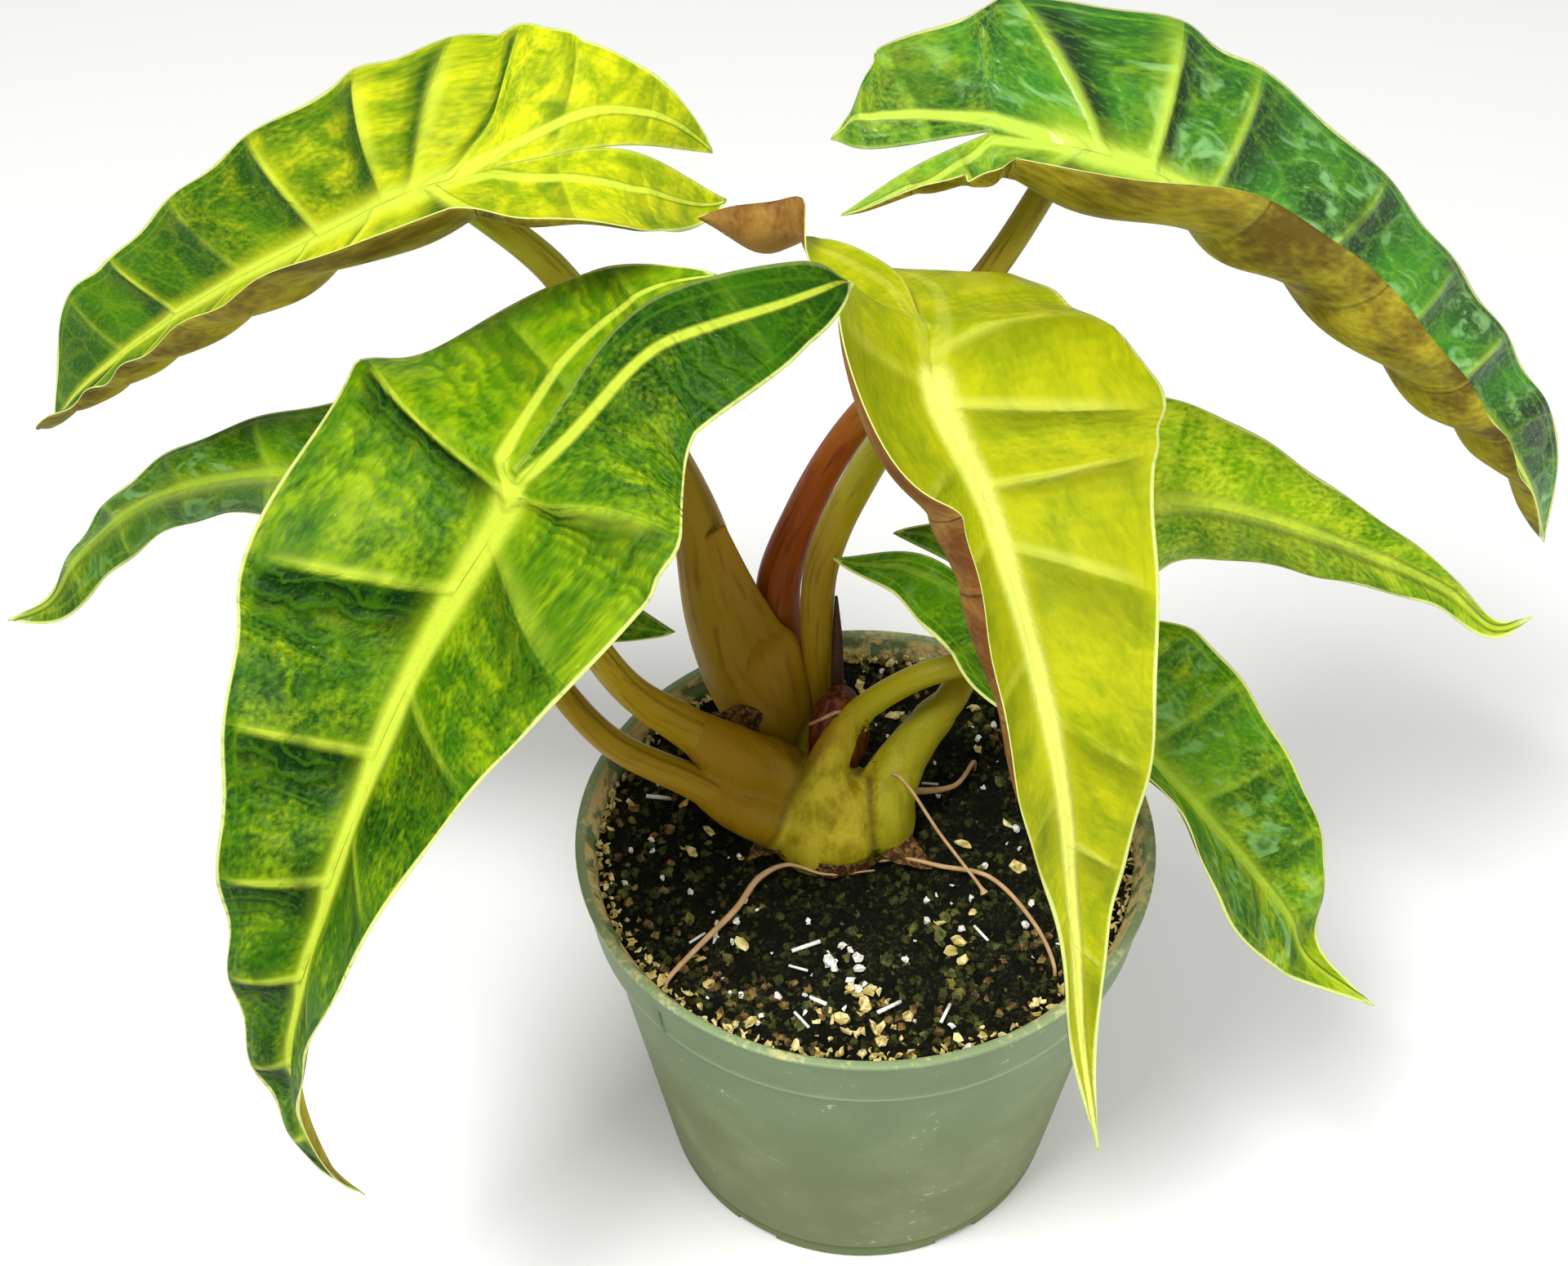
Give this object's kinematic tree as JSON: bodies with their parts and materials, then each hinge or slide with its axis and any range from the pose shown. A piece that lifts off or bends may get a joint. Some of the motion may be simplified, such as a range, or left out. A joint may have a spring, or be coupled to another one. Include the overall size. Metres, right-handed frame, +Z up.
{
  "type": "potted variegated bambino alocasia",
  "caption": "Small arrow-leaved alocasia with yellow-green variegated, drooping leaves on bare stalks, growing from a swollen corm in a plain round nursery pot of dark soil.",
  "frame": {"origin": "centre of the flat underside of the pot's floor, level with the foot ring it rests on", "axes": "+Z up along the pot's axis, -Y towards the front of the plant, +X to the right as seen from the front"},
  "size_m": [0.3025, 0.1485, 0.2172],
  "materials": {
    "pot_plastic": "matte sage-green moulded nursery pot",
    "soil": "loose dark potting mix with bark and white perlite",
    "corm": "olive, smooth living stem base",
    "bud": "dark red waxy bud",
    "dried_sheath": "dried dark sheath",
    "stalk": "olive-yellow waxy leaf stalk",
    "red_stalk": "red-brown waxy leaf stalk",
    "blade_variegated": "glossy quilted blade, green and yellow",
    "blade_yellow": "glossy yellow-lime blade",
    "blade_yellow_to_green": "glossy blade, yellow lobes and green tip",
    "blade_dark": "glossy dark green blade with yellow veins",
    "blade_green": "glossy green blade with pale veins",
    "blade_speckled": "glossy blade speckled yellow and green"
  },
  "bodies": {
    "root": {"pot": "pot_plastic", "soil": "soil", "corm_and_roots": "corm", "bud": "bud", "dried_sheath_tip": "dried_sheath", "stalk_front_left": "stalk", "stalk_centre": "stalk", "stalk_upper_left": "stalk", "stalk_upper_right": "red_stalk", "stalk_mid_left": "stalk", "stalk_right": "stalk", "stalk_lower_right": "stalk", "blade_front_left": "blade_variegated", "blade_centre": "blade_yellow", "blade_upper_left": "blade_yellow_to_green", "blade_upper_right": "blade_dark", "blade_mid_left": "blade_green", "blade_right": "blade_speckled", "blade_lower_right": "blade_green"}
  },
  "joints": []
}
